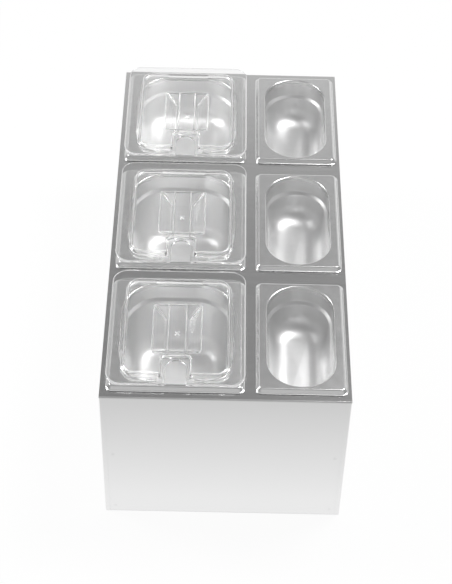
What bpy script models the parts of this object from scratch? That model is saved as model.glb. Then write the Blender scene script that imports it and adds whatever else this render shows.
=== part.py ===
"""Condiment pan holder.

A folded sheet-steel housing carries six lift-out pans in the cut-outs of its deck: three sixth-size pans with
clear notched lids in the left column, and three open ninth-size pans in the right column.

Metres, +X to the right, +Y to the rear, +Z up. The origin is the middle of the housing's footprint.
"""
import math

import bmesh
import bpy
from mathutils import Vector

MM = 0.001
GAP = 0.3 * MM                  # left between two pieces that touch
OVERRUN = 5 * MM                # how far a cutter runs past what it cuts

# Pans, which the housing is laid out around
ROW_NAMES = ("front", "middle", "rear")
PAN_LENGTH = 176 * MM
SIXTH_WIDTH = 162 * MM
NINTH_WIDTH = 108 * MM
SHALLOW_DEPTH = 65 * MM         # rim top to the floor
DEEP_DEPTH = 100 * MM
DEEP_PANS = ("sixth_pan_front", "sixth_pan_middle")
PAN_SHEET = 0.8 * MM
RIM_SIDE_FLANGE = 13.5 * MM     # outer edge of the rim to the opening, at the pan's sides
RIM_END_FLANGE = 9 * MM         # the same at its front and rear
RIM_HEIGHT = 6 * MM             # rim top down to the edge that stands on the deck
RIM_BEND = 4 * MM
RIM_CORNER = 8 * MM
SIXTH_WELL_CORNER = 48 * MM
NINTH_WELL_CORNER = 39 * MM
MOUTH_BEND = 1.5 * MM           # rounding where the rim turns down into the well
BAND_DEPTH = 25 * MM            # straight band below the rim, down to the stacking shoulder
SHOULDER_STEP = 3.5 * MM
SHOULDER_DROP = 4 * MM
WALL_LEAN_SHARE = 0.1           # how far the wall leans in below the shoulder, for each unit of depth there
FLOOR_BEND = 22 * MM

# Housing
SHEET = 1.0 * MM
HOUSING_HEIGHT = 225 * MM
LEFT_BORDER = 7 * MM            # left side face to the nearest rim
RIGHT_BORDER = 4 * MM
FRONT_BORDER = 9 * MM
REAR_BORDER = 11 * MM
COLUMN_GAP = 13 * MM            # between the rims of the two columns
ROW_GAP = 22 * MM               # between the rims of two rows
CUTOUT_CLEARANCE = 1.5 * MM     # round each pan's well
EDGE_BEND = 2.5 * MM            # outer radius of the folded edges
BASE_RETURN = 15 * MM           # flange folded in along the bottom
CORNER_STRIP = 6 * MM           # side panel's strip that shows on the front and rear face
CORNER_LAP = 14 * MM            # the part of that strip welded on behind the apron
JOGGLE_RUN = 1.5 * MM           # length of the step between strip and lap
TOP_RETURN_MARGIN = 1 * MM      # side panel's top flange ends this far outside the cut-out

# Cross rails under the deck
RAIL_WIDTH = 14 * MM
RAIL_DEPTH = 14 * MM
RAIL_FLANGE = 7 * MM
RAIL_BEND = 2 * MM

# Lids
LID_WALL = 2.5 * MM
LID_SIDE_OVERHANG = 1 * MM
LID_FRONT_SETBACK = 5 * MM      # lid's front edge behind the rim's
LID_REAR_OVERHANG = 11 * MM     # lip behind the pan that a finger lifts
LID_CORNER = 18 * MM
PLATEAU_SIDE_MARGIN = 19 * MM
PLATEAU_FRONT_MARGIN = 11 * MM
PLATEAU_REAR_MARGIN = 19 * MM
PLATEAU_RISE = 6.5 * MM
PLATEAU_CORNER = 16 * MM
PLATEAU_DRAFT = 1.5 * MM
NOTCH_WIDTH = 23 * MM
NOTCH_DEPTH = 37.5 * MM
POCKET_WIDTH = 37.5 * MM        # lowered part of the plateau round the notch
POCKET_MARGIN = 2.5 * MM        # between the notch's end and the pocket's rear wall
POCKET_CORNER = 5 * MM
HANDLE_WIDTH = 58 * MM          # mouth of the sunk handle
HANDLE_LENGTH = 76 * MM
HANDLE_START = 48.5 * MM        # rim's front edge to the mouth of the handle
HANDLE_DEPTH = 12 * MM
HANDLE_CORNER = 4 * MM
HANDLE_FLOOR_WIDTH = 28 * MM
HANDLE_FLOOR_LENGTH = 48 * MM
HANDLE_FLOOR_CORNER = 2 * MM
WEB_SPACING = 21 * MM           # between the two grip webs, middle to middle
WEB_WALL = 2 * MM
RIB_DEPTH = 3 * MM              # locating ribs under the lid
RIB_WALL = 2 * MM
RIB_CLEARANCE = 1.5 * MM
SIDE_RIB_LENGTH = 56 * MM
REAR_RIB_LENGTH = 56 * MM
FRONT_RIB_LENGTH = 12 * MM
FRONT_RIB_OFFSET = 22 * MM      # middle line to the near end of a front rib

# Facets
CORNER_STEPS = 6
BEND_STEPS = 2
FLOOR_STEPS = 3
NOTCH_STEPS = 10

# Worked out from the above
HOUSING_WIDTH = LEFT_BORDER + SIXTH_WIDTH + COLUMN_GAP + NINTH_WIDTH + RIGHT_BORDER
HOUSING_DEPTH = FRONT_BORDER + REAR_BORDER + len(ROW_NAMES) * (PAN_LENGTH + ROW_GAP) - ROW_GAP
HALF_WIDTH = HOUSING_WIDTH / 2
HALF_DEPTH = HOUSING_DEPTH / 2
RIM_TOP = HOUSING_HEIGHT + GAP + RIM_HEIGHT
CUTOUT_MARGIN = PAN_SHEET + CUTOUT_CLEARANCE
SIXTH_X = -HALF_WIDTH + LEFT_BORDER + SIXTH_WIDTH / 2
NINTH_X = HALF_WIDTH - RIGHT_BORDER - NINTH_WIDTH / 2

STEEL = ((0.62, 0.62, 0.61, 1.0), 1.0, 0.38)
PAN_STEEL = ((0.70, 0.70, 0.69, 1.0), 1.0, 0.24)
CLEAR_PLASTIC = ((0.90, 0.92, 0.92, 0.35), 0.0, 0.06)


def clear_scene():
    for thing in list(bpy.data.objects):
        bpy.data.objects.remove(thing, do_unlink=True)


def finish_material(name, finish):
    """A Principled material from (colour, metallic, roughness)."""
    colour, metallic, roughness = finish
    material = bpy.data.materials.new(name)
    material.use_nodes = True
    shader = material.node_tree.nodes["Principled BSDF"]
    shader.inputs["Base Color"].default_value = colour
    shader.inputs["Metallic"].default_value = metallic
    shader.inputs["Roughness"].default_value = roughness
    shader.inputs["Alpha"].default_value = colour[3]
    return material


def make_object(name, mesh, finish=None, location=(0, 0, 0), parent=None):
    thing = bpy.data.objects.new(name, mesh)
    bpy.context.collection.objects.link(thing)
    thing.location = location
    thing.parent = parent
    if finish:
        if not mesh.materials:
            mesh.materials.append(None)
        thing.material_slots[0].link = "OBJECT"
        thing.material_slots[0].material = finish_material(name, finish)
    return thing


def mesh_from(name, corners, faces):
    """A mesh with its faces pointing out of the closed shape they bound."""
    mesh = bpy.data.meshes.new(name)
    mesh.from_pydata(corners, [], faces)
    shape = bmesh.new()
    shape.from_mesh(mesh)
    bmesh.ops.recalc_face_normals(shape, faces=shape.faces)
    shape.to_mesh(mesh)
    shape.free()
    return mesh


def shade(mesh):
    mesh.shade_smooth()
    mesh.set_sharp_from_angle(angle=math.radians(35))


def combine(target, other, operation):
    """Joins other to target, or cuts it away, and removes it."""
    change = target.modifiers.new(operation.lower(), "BOOLEAN")
    change.operation = operation
    change.solver = "EXACT"
    change.object = other
    bpy.context.view_layer.update()
    result = bpy.data.meshes.new_from_object(target.evaluated_get(bpy.context.evaluated_depsgraph_get()))
    target.modifiers.clear()
    target.data = result
    bpy.data.objects.remove(other, do_unlink=True)


def rounded_rectangle(width, length, radius, middle=(0, 0)):
    """Points of a rectangle with rounded corners, the same number for any size."""
    points = []
    for quarter, (side_x, side_y) in enumerate(((1, 1), (-1, 1), (-1, -1), (1, -1))):
        centre_x = middle[0] + side_x * (width / 2 - radius)
        centre_y = middle[1] + side_y * (length / 2 - radius)
        for step in range(CORNER_STEPS + 1):
            angle = math.pi / 2 * (quarter + step / CORNER_STEPS)
            points.append((centre_x + radius * math.cos(angle), centre_y + radius * math.sin(angle)))
    return points


def block(low, high):
    """A box between two corners, used as a cutter or as a plain web or flange."""
    shape = bmesh.new()
    bmesh.ops.create_cube(shape, size=1)
    for corner in shape.verts:
        corner.co = Vector((near if share < 0 else far) for near, far, share in zip(low, high, corner.co))
    mesh = bpy.data.meshes.new("block")
    shape.to_mesh(mesh)
    shape.free()
    return make_object("block", mesh)


def prism(name, lower, upper, bottom, top):
    """A solid between two outlines that have as many points, at two heights."""
    count = len(lower)
    corners = [(x, y, bottom) for x, y in lower] + [(x, y, top) for x, y in upper]
    faces = [[(i + 1) % count, i, i + count, (i + 1) % count + count] for i in range(count)]
    faces += [list(range(count)), list(range(2 * count - 1, count - 1, -1))]
    return make_object(name, mesh_from(name, corners, faces))


def swept(name, outline, start, end, place):
    """A solid with one cross-section from start to end; place(u, v, along) gives a corner's x, y, z."""
    count = len(outline)
    corners = [place(u, v, start) for u, v in outline] + [place(u, v, end) for u, v in outline]
    faces = [[i, (i + 1) % count, (i + 1) % count + count, i + count] for i in range(count)]
    faces += [list(range(count)), list(range(count, 2 * count))]
    return mesh_from(name, corners, faces)


def bend_points(corner, before, after, radius, sheet):
    """The two sides of a folded strip at one corner of its path; the sheet lies to the left of the path."""
    left_before = Vector((-before.y, before.x))
    left_after = Vector((-after.y, after.x))
    half_turn = before.angle_signed(after) / -2
    if radius == 0:
        return [corner], [corner + (left_before + left_after).normalized() * sheet / math.cos(half_turn)]
    side = 1 if half_turn > 0 else -1
    path_radius = radius if side > 0 else radius - sheet
    centre = corner - before * path_radius * abs(math.tan(half_turn)) + left_before * side * path_radius
    path_side, sheet_side = [], []
    for step in range(BEND_STEPS + 1):
        spoke = left_before.slerp(left_after, step / BEND_STEPS) * -side
        path_side.append(centre + spoke * path_radius)
        sheet_side.append(centre + spoke * (path_radius - side * sheet))
    return path_side, sheet_side


def folded_outline(path, bends, sheet):
    """Outline of a bent strip seen on edge. bends holds the outer radius at each inner corner of the path."""
    path = [Vector(point) for point in path]
    runs = [(far - near).normalized() for near, far in zip(path, path[1:])]
    path_side, sheet_side = [path[0]], [path[0] + Vector((-runs[0].y, runs[0].x)) * sheet]
    for corner, before, after, radius in zip(path[1:], runs, runs[1:], bends):
        outer, inner = bend_points(corner, before, after, radius, sheet)
        path_side += outer
        sheet_side += inner
    path_side.append(path[-1])
    sheet_side.append(path[-1] + Vector((-runs[-1].y, runs[-1].x)) * sheet)
    return [tuple(point) for point in path_side + sheet_side[::-1]]


def row_front(row):
    """Y of the front edge of a row's rims."""
    return -HALF_DEPTH + FRONT_BORDER + row * (PAN_LENGTH + ROW_GAP)


def row_middle(row):
    return row_front(row) + PAN_LENGTH / 2


def opening_corner(corner, pan_width):
    """Corner radius of a pan's opening, limited by the opening's width."""
    return min(corner, pan_width / 2 - RIM_SIDE_FLANGE)


# Housing


def build_deck_shell():
    """Deck and both aprons, one sheet: bent at the front, the rear and along the bottom."""
    path = [
        (HALF_DEPTH - BASE_RETURN, 0),
        (HALF_DEPTH, 0),
        (HALF_DEPTH, HOUSING_HEIGHT),
        (-HALF_DEPTH, HOUSING_HEIGHT),
        (-HALF_DEPTH, 0),
        (-HALF_DEPTH + BASE_RETURN, 0),
    ]
    outline = folded_outline(path, [EDGE_BEND] * 4, SHEET)
    mesh = swept("deck_shell", outline, -HALF_WIDTH, HALF_WIDTH, lambda y, z, x: (x, y, z))
    deck = make_object("deck_shell", mesh, STEEL)
    for side in (-1, 1):
        for end in (-1, 1):
            cut_corner_strip(deck, side, end)
    for row in range(len(ROW_NAMES)):
        cut_pan_opening(deck, SIXTH_X, row, SIXTH_WIDTH, SIXTH_WELL_CORNER)
        cut_pan_opening(deck, NINTH_X, row, NINTH_WIDTH, NINTH_WELL_CORNER)
    shade(deck.data)


def cut_corner_strip(deck, side, end):
    """Takes the apron away where the side panel's strip shows beside it."""
    inner = HALF_WIDTH - CORNER_STRIP - GAP
    across = sorted((side * inner, side * (HALF_WIDTH + OVERRUN)))
    along = sorted((end * (HALF_DEPTH - BASE_RETURN - OVERRUN), end * (HALF_DEPTH + OVERRUN)))
    low = (across[0], along[0], -OVERRUN)
    high = (across[1], along[1], HOUSING_HEIGHT - EDGE_BEND)
    combine(deck, block(low, high), "DIFFERENCE")


def cut_pan_opening(deck, x, row, pan_width, well_corner):
    outline = rounded_rectangle(
        pan_width - 2 * (RIM_SIDE_FLANGE - CUTOUT_MARGIN),
        PAN_LENGTH - 2 * (RIM_END_FLANGE - CUTOUT_MARGIN),
        opening_corner(well_corner, pan_width) + CUTOUT_MARGIN,
        (x, row_middle(row)),
    )
    bottom = HOUSING_HEIGHT - SHEET - OVERRUN
    combine(deck, prism("opening", outline, outline, bottom, HOUSING_HEIGHT + OVERRUN), "DIFFERENCE")


def build_side_panel(name, side):
    """Side wall with its strips round the corners, its laps behind the aprons and its top and bottom flanges."""
    joggle = SHEET + GAP
    strip_x = HALF_WIDTH - CORNER_STRIP
    path = [
        (strip_x - CORNER_LAP, -HALF_DEPTH + joggle),
        (strip_x, -HALF_DEPTH + joggle),
        (strip_x + JOGGLE_RUN, -HALF_DEPTH),
        (HALF_WIDTH, -HALF_DEPTH),
        (HALF_WIDTH, HALF_DEPTH),
        (strip_x + JOGGLE_RUN, HALF_DEPTH),
        (strip_x, HALF_DEPTH - joggle),
        (strip_x - CORNER_LAP, HALF_DEPTH - joggle),
    ]
    outline = folded_outline(path, [0, 0, EDGE_BEND, EDGE_BEND, 0, 0], SHEET)
    strip_top = HOUSING_HEIGHT - EDGE_BEND - GAP
    mesh = swept(name, outline, 0, strip_top, lambda x, y, z: (x, y, z))
    panel = make_object(name, mesh, STEEL)
    for end in (-1, 1):
        cut_lap_foot(panel, strip_x, end)
    add_side_flanges(panel, strip_top, side)
    if side < 0:
        mirror_x(panel.data)
    shade(panel.data)


def cut_lap_foot(panel, strip_x, end):
    """Ends the lap above the apron's bottom bend."""
    along = sorted((end * (HALF_DEPTH - BASE_RETURN), end * (HALF_DEPTH + OVERRUN)))
    low = (strip_x - CORNER_LAP - OVERRUN, along[0], -OVERRUN)
    high = (strip_x, along[1], EDGE_BEND + GAP)
    combine(panel, block(low, high), "DIFFERENCE")


def add_side_flanges(panel, strip_top, side):
    """The wall's top edge, the flange under the deck and the flange along the bottom."""
    wall_end = HALF_DEPTH - EDGE_BEND - GAP
    wall_top = HOUSING_HEIGHT - SHEET - GAP
    low = (HALF_WIDTH - SHEET, -wall_end, strip_top - OVERRUN)
    combine(panel, block(low, (HALF_WIDTH, wall_end, wall_top)), "UNION")
    low = (HALF_WIDTH - top_return_width(side), -wall_end, wall_top - SHEET)
    combine(panel, block(low, (HALF_WIDTH, wall_end, wall_top)), "UNION")
    base_end = HALF_DEPTH - BASE_RETURN - GAP
    low = (HALF_WIDTH - BASE_RETURN, -base_end, 0)
    combine(panel, block(low, (HALF_WIDTH, base_end, SHEET)), "UNION")


def top_return_width(side):
    """From the housing's side face in to the edge of the side panel's top flange."""
    border = LEFT_BORDER if side < 0 else RIGHT_BORDER
    return border + RIM_SIDE_FLANGE - CUTOUT_MARGIN - TOP_RETURN_MARGIN


def mirror_x(mesh):
    for corner in mesh.vertices:
        corner.co.x *= -1
    mesh.flip_normals()


def build_cross_rail(name, row):
    """Hat-section rail spot-welded under the land behind a row of pans."""
    top = HOUSING_HEIGHT - SHEET - GAP
    middle = row_front(row) + PAN_LENGTH + ROW_GAP / 2
    half = RAIL_WIDTH / 2
    path = [
        (half + RAIL_FLANGE, 0),
        (half, 0),
        (half, -RAIL_DEPTH),
        (-half, -RAIL_DEPTH),
        (-half, 0),
        (-half - RAIL_FLANGE, 0),
    ]
    outline = folded_outline(path, [RAIL_BEND] * 4, SHEET)
    left_end = -HALF_WIDTH + top_return_width(-1) + GAP
    right_end = HALF_WIDTH - top_return_width(1) - GAP
    mesh = swept(name, outline, left_end, right_end, lambda y, z, x: (x, y, z))
    shade(mesh)
    make_object(name, mesh, STEEL, (0, middle, top))


# Pans


def pan_rings(well_corner, depth):
    """Rings of the pan's upper skin, from the lip inwards: inset at the sides and ends, height, corner radius."""
    rings = [(0, 0, -RIM_HEIGHT, RIM_CORNER)]
    for step in range(BEND_STEPS + 1):
        angle = math.pi / 2 * step / BEND_STEPS
        inset = RIM_BEND * (1 - math.cos(angle))
        rings.append((inset, inset, RIM_BEND * (math.sin(angle) - 1), RIM_CORNER - inset))
    for inward, height in well_profile(depth):
        rings.append((RIM_SIDE_FLANGE + inward, RIM_END_FLANGE + inward, height, well_corner - inward))
    return rings


def well_profile(depth):
    """Points (distance in from the opening, height) over the mouth's bend and down to the floor's edge."""
    points = []
    for step in range(BEND_STEPS + 1):
        angle = math.pi / 2 * step / BEND_STEPS
        points.append((MOUTH_BEND * (math.sin(angle) - 1), MOUTH_BEND * (math.cos(angle) - 1)))
    shoulder_foot = BAND_DEPTH + SHOULDER_DROP
    points += [(0, -BAND_DEPTH), (SHOULDER_STEP, -shoulder_foot)]
    wall_foot = SHOULDER_STEP + WALL_LEAN_SHARE * (depth - shoulder_foot)
    for step in range(FLOOR_STEPS + 1):
        angle = math.pi / 2 * step / FLOOR_STEPS
        inward = wall_foot + FLOOR_BEND * (1 - math.cos(angle))
        points.append((inward, -depth + FLOOR_BEND * (1 - math.sin(angle))))
    return points


def pan_mesh(name, width, well_corner, depth):
    """The pan's upper skin, from the lip over the rim and down to the floor."""
    corners, faces = [], []
    for side_inset, end_inset, height, radius in pan_rings(opening_corner(well_corner, width), depth):
        outline = rounded_rectangle(width - 2 * side_inset, PAN_LENGTH - 2 * end_inset, radius)
        corners += [(x, y, height) for x, y in outline]
    count = 4 * (CORNER_STEPS + 1)
    for start in range(0, len(corners) - count, count):
        for i in range(count):
            after = (i + 1) % count
            faces.append([start + i, start + after, start + count + after, start + count + i])
    faces.append(list(range(len(corners) - count, len(corners))))
    mesh = bpy.data.meshes.new(name)
    mesh.from_pydata(corners, [], faces)
    shade(mesh)
    return mesh


def build_pans(size_name, x, width, well_corner):
    """The pans of one column, each hung by its rim on the deck. They differ only in depth."""
    pans = []
    for row, row_name in enumerate(ROW_NAMES):
        name = size_name + "_pan_" + row_name
        depth = DEEP_DEPTH if name in DEEP_PANS else SHALLOW_DEPTH
        location = (x, row_middle(row), RIM_TOP)
        pan = make_object(name, pan_mesh(name, width, well_corner, depth), PAN_STEEL, location)
        wall = pan.modifiers.new("sheet", "SOLIDIFY")
        wall.thickness = PAN_SHEET
        wall.offset = -1
        wall.use_even_offset = True
        pans.append(pan)
    return pans


# Lids, drawn from the middle of the pan, with zero at the rim's top


def lid_front_edge():
    return -PAN_LENGTH / 2 + LID_FRONT_SETBACK


def lid_rear_edge():
    return PAN_LENGTH / 2 + LID_REAR_OVERHANG


def plateau_outline(inset):
    """Outline of the raised middle, drawn in by inset."""
    front = lid_front_edge() + PLATEAU_FRONT_MARGIN
    rear = lid_rear_edge() - PLATEAU_REAR_MARGIN
    width = SIXTH_WIDTH + 2 * LID_SIDE_OVERHANG - 2 * PLATEAU_SIDE_MARGIN
    corner = PLATEAU_CORNER - inset
    return rounded_rectangle(width - 2 * inset, rear - front - 2 * inset, corner, (0, (front + rear) / 2))


def add_plateau(lid, underside, plateau_top):
    """Raises the middle of the lid as a block with leaning sides, and hollows it from below."""
    lean = PLATEAU_DRAFT / (plateau_top - underside)
    outer = prism("plateau", plateau_outline(-PLATEAU_DRAFT), plateau_outline(0), underside, plateau_top)
    combine(lid, outer, "UNION")
    lower = plateau_outline(LID_WALL - PLATEAU_DRAFT - lean * OVERRUN)
    upper = plateau_outline(LID_WALL - lean * LID_WALL)
    hollow = prism("hollow", lower, upper, underside - OVERRUN, plateau_top - LID_WALL)
    combine(lid, hollow, "DIFFERENCE")


def handle_outline(width, length, corner):
    middle = -PAN_LENGTH / 2 + HANDLE_START + HANDLE_LENGTH / 2
    return rounded_rectangle(width, length, corner, (0, middle))


def add_handle(lid, plateau_top):
    """A hopper sunk into the plateau, with two upright webs to pinch."""
    floor_top = plateau_top - HANDLE_DEPTH
    mouth = handle_outline(HANDLE_WIDTH, HANDLE_LENGTH, HANDLE_CORNER)
    floor = handle_outline(HANDLE_FLOOR_WIDTH, HANDLE_FLOOR_LENGTH, HANDLE_FLOOR_CORNER)
    skin = 2 * LID_WALL
    shell_mouth = handle_outline(HANDLE_WIDTH + skin, HANDLE_LENGTH + skin, HANDLE_CORNER + LID_WALL)
    shell_floor = handle_outline(
        HANDLE_FLOOR_WIDTH + skin, HANDLE_FLOOR_LENGTH + skin, HANDLE_FLOOR_CORNER + LID_WALL
    )
    combine(lid, prism("shell", shell_floor, shell_mouth, floor_top - LID_WALL, plateau_top), "UNION")
    above_width = (HANDLE_WIDTH - HANDLE_FLOOR_WIDTH) * OVERRUN / HANDLE_DEPTH
    above_length = (HANDLE_LENGTH - HANDLE_FLOOR_LENGTH) * OVERRUN / HANDLE_DEPTH
    above = handle_outline(HANDLE_WIDTH + above_width, HANDLE_LENGTH + above_length, HANDLE_CORNER)
    combine(lid, prism("hopper", floor, above, floor_top, plateau_top + OVERRUN), "DIFFERENCE")
    add_webs(lid, mouth, floor_top, plateau_top)


def add_webs(lid, mouth, floor_top, plateau_top):
    """Grip webs from the hopper's front slope to its rear slope, level with the plateau."""
    front = min(y for x, y in mouth) - LID_WALL / 2
    rear = max(y for x, y in mouth) + LID_WALL / 2
    slope = (HANDLE_LENGTH - HANDLE_FLOOR_LENGTH) / 2
    foot = floor_top - LID_WALL / 2
    for side in (-1, 1):
        inner = side * WEB_SPACING / 2 - WEB_WALL / 2
        outer = inner + WEB_WALL
        profile = [(front, plateau_top), (rear, plateau_top), (rear - slope, foot), (front + slope, foot)]
        mesh = swept("web", profile, inner, outer, lambda y, z, x: (x, y, z))
        combine(lid, make_object("web", mesh), "UNION")


def pocket_outline(inset):
    """Plan of the lowered part round the notch, which runs out past the lid's front edge."""
    front = lid_front_edge() - OVERRUN
    rear = lid_front_edge() + NOTCH_DEPTH + POCKET_MARGIN - inset
    width = POCKET_WIDTH - 2 * inset
    return rounded_rectangle(width, rear - front, POCKET_CORNER - inset, (0, (front + rear) / 2))


def add_notch(lid, underside, flange_top, plateau_top):
    """Lowers the plateau's front to the flange's level there, and opens the spoon notch in it."""
    front_wall = lid_front_edge() + PLATEAU_FRONT_MARGIN
    outline = pocket_outline(-LID_WALL)
    filler = prism("filler", outline, outline, underside, plateau_top)
    trim = block(
        (-POCKET_WIDTH, lid_front_edge() - 2 * OVERRUN, underside - OVERRUN),
        (POCKET_WIDTH, front_wall, plateau_top + OVERRUN),
    )
    combine(filler, trim, "DIFFERENCE")
    combine(lid, filler, "UNION")
    outline = pocket_outline(0)
    combine(lid, prism("pocket", outline, outline, flange_top, plateau_top + OVERRUN), "DIFFERENCE")
    combine(lid, notch_cutter(underside - OVERRUN, flange_top + OVERRUN), "DIFFERENCE")


def notch_cutter(bottom, top):
    """The notch's plan: straight sides from the lid's front edge, and a round end."""
    half = NOTCH_WIDTH / 2
    centre_y = lid_front_edge() + NOTCH_DEPTH - half
    outline = [(-half, lid_front_edge() - OVERRUN), (half, lid_front_edge() - OVERRUN)]
    for step in range(NOTCH_STEPS + 1):
        angle = math.pi * step / NOTCH_STEPS
        outline.append((half * math.cos(angle), centre_y + half * math.sin(angle)))
    return prism("notch", outline, outline, bottom, top)


def add_ribs(lid, underside, flange_top, plateau_top):
    """Locating ribs that drop into the pan's opening beside its straight edges; the rear one hangs from the plateau."""
    side = SIXTH_WIDTH / 2 - RIM_SIDE_FLANGE - RIB_CLEARANCE
    end = PAN_LENGTH / 2 - RIM_END_FLANGE - RIB_CLEARANCE
    front_end = -end + RIB_CLEARANCE
    root = flange_top - LID_WALL / 2
    spans = []
    for sign in (-1, 1):
        across = sorted((sign * side, sign * (side - RIB_WALL)))
        spans.append((across, (-SIDE_RIB_LENGTH / 2, SIDE_RIB_LENGTH / 2), root))
        across = sorted((sign * FRONT_RIB_OFFSET, sign * (FRONT_RIB_OFFSET + FRONT_RIB_LENGTH)))
        spans.append((across, (front_end, front_end + RIB_WALL), root))
    across = (-REAR_RIB_LENGTH / 2, REAR_RIB_LENGTH / 2)
    spans.append((across, (end - RIB_WALL, end), plateau_top - LID_WALL / 2))
    for across, along, top in spans:
        low = (across[0], along[0], underside - RIB_DEPTH)
        combine(lid, block(low, (across[1], along[1], top)), "UNION")


def lid_mesh():
    underside = GAP
    flange_top = underside + LID_WALL
    plateau_top = flange_top + PLATEAU_RISE
    width = SIXTH_WIDTH + 2 * LID_SIDE_OVERHANG
    length = lid_rear_edge() - lid_front_edge()
    outline = rounded_rectangle(width, length, LID_CORNER, (0, (lid_front_edge() + lid_rear_edge()) / 2))
    lid = prism("lid", outline, outline, underside, flange_top)
    add_plateau(lid, underside, plateau_top)
    add_handle(lid, plateau_top)
    add_notch(lid, underside, flange_top, plateau_top)
    add_ribs(lid, underside, flange_top, plateau_top)
    mesh = lid.data
    bpy.data.objects.remove(lid, do_unlink=True)
    shade(mesh)
    return mesh


def build_lids(pans):
    """Three alike, each lying on the rim of its own pan."""
    mesh = lid_mesh()
    for pan, row_name in zip(pans, ROW_NAMES):
        make_object("lid_" + row_name, mesh, CLEAR_PLASTIC, (0, 0, 0), pan)


clear_scene()
build_deck_shell()
build_side_panel("side_panel_left", -1)
build_side_panel("side_panel_right", 1)
build_cross_rail("cross_rail_front", 0)
build_cross_rail("cross_rail_rear", 1)
sixth_pans = build_pans("sixth", SIXTH_X, SIXTH_WIDTH, SIXTH_WELL_CORNER)
build_pans("ninth", NINTH_X, NINTH_WIDTH, NINTH_WELL_CORNER)
build_lids(sixth_pans)
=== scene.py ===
import math

import bmesh
import bpy
from mathutils import Matrix, Vector


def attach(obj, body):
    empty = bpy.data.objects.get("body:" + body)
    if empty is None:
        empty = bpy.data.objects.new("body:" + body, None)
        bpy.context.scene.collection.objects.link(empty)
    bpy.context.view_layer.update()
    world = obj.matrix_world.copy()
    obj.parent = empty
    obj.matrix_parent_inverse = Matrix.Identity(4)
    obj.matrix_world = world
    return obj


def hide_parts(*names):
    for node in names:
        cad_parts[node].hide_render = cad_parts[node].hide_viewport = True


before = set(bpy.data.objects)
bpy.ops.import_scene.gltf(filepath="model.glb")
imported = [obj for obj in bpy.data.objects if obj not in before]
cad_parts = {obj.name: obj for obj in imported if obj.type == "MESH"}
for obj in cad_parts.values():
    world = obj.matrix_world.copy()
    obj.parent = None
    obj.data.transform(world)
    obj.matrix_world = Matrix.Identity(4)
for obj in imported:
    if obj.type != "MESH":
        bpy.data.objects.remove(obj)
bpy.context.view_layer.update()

# Deck and aprons
# One sheet of 1 mm stainless steel. The deck is bent down into the front and rear aprons, which turn in
# along the bottom, and it has a cut-out for each pan. The brushed grain runs from side to side.
MM = 0.001
SHEET = 1.0 * MM
HOUSING_WIDTH = 294 * MM
HOUSING_DEPTH = 592 * MM
HOUSING_HEIGHT = 225 * MM
EDGE_BEND = 1.6 * MM
BASE_RETURN = 15 * MM
CORNER_STRIP = 6 * MM
# Welded sheets lie SEAM apart. The seam that shows on the front and rear is wider by FACE_SEAM.
SEAM = 0.05 * MM
FACE_SEAM = 0.2 * MM
FRONT_ROW = -199 * MM
ROW_PITCH = 198 * MM
ROW_MIDDLES = {"front": FRONT_ROW, "middle": FRONT_ROW + ROW_PITCH, "rear": FRONT_ROW + 2 * ROW_PITCH}
SIXTH = {"x": -59 * MM, "width": 162 * MM, "corner": 48 * MM}
NINTH = {"x": 89 * MM, "width": 108 * MM, "corner": 39 * MM}
PAN_LENGTH = 176 * MM
# Each cut-out leaves CUTOUT_MARGIN round the pan's well, so it lies this far inside the rim's edge.
CUTOUT_INSET_SIDE = 11.2 * MM
CUTOUT_INSET_END = 6.7 * MM
CUTOUT_MARGIN = 2.3 * MM
WELD_HEIGHTS = (12 * MM, 117 * MM)
WELD_X = HOUSING_WIDTH / 2 - 13 * MM
WELD_DENT = 0.15 * MM
WELD_FLOOR_RADIUS = 1.6 * MM
WELD_RADIUS = 2.4 * MM
# A cutter reaches OVERRUN past what it cuts. FLAT_HOLD is how far from a bend its holding points lie, and
# corners nearer to each other than MERGE_REACH are one.
OVERRUN = 5 * MM
FLAT_HOLD = 0.4 * MM
MERGE_REACH = 0.001 * MM


def linear(hex_colour):
    """A colour written as sRGB hex, turned to the linear values that Blender works in."""
    parts = [int(hex_colour[i : i + 2], 16) / 255 for i in (1, 3, 5)]
    return tuple(p / 12.92 if p <= 0.04045 else ((p + 0.055) / 1.055) ** 2.4 for p in parts) + (1.0,)


def add(tree, kind, links=None, **settings):
    """Adds a node. links maps each input to a value or to the output of another node."""
    node = tree.nodes.new(kind)
    for name, value in settings.items():
        setattr(node, name, value)
    for name, source in (links or {}).items():
        if isinstance(source, bpy.types.NodeSocket):
            tree.links.new(source, node.inputs[name])
        else:
            node.inputs[name].default_value = source
    return node


def new_material(name):
    """An empty node material: its tree, and the material itself."""
    material = bpy.data.materials.new(name)
    material.use_nodes = True
    material.node_tree.nodes.clear()
    return material.node_tree, material


def bent_line(corners, steps=6, hold=FLAT_HOLD):
    """Points (u, v) along corners (u, v, radius). A holding point beside each bend keeps the flats flat."""
    spots = [Vector(corner[:2]) for corner in corners]
    points = [spots[0]]
    for i in range(1, len(spots) - 1):
        before = (spots[i] - spots[i - 1]).normalized()
        after = (spots[i + 1] - spots[i]).normalized()
        radius = corners[i][2]
        if radius == 0:
            points.append(spots[i])
            continue
        turn = math.atan2(before.cross(after), before.dot(after))
        reach = radius * math.tan(abs(turn) / 2)
        start = spots[i] - before * reach
        centre = start + Vector((-before.y, before.x)) * math.copysign(radius, turn)
        points.append(start - before * hold)
        for step in range(steps + 1):
            points.append(centre + Matrix.Rotation(turn * step / steps, 2) @ (start - centre))
        points.append(spots[i] + after * (reach + hold))
    points.append(spots[-1])
    return [tuple(point) for point in points]


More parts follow.
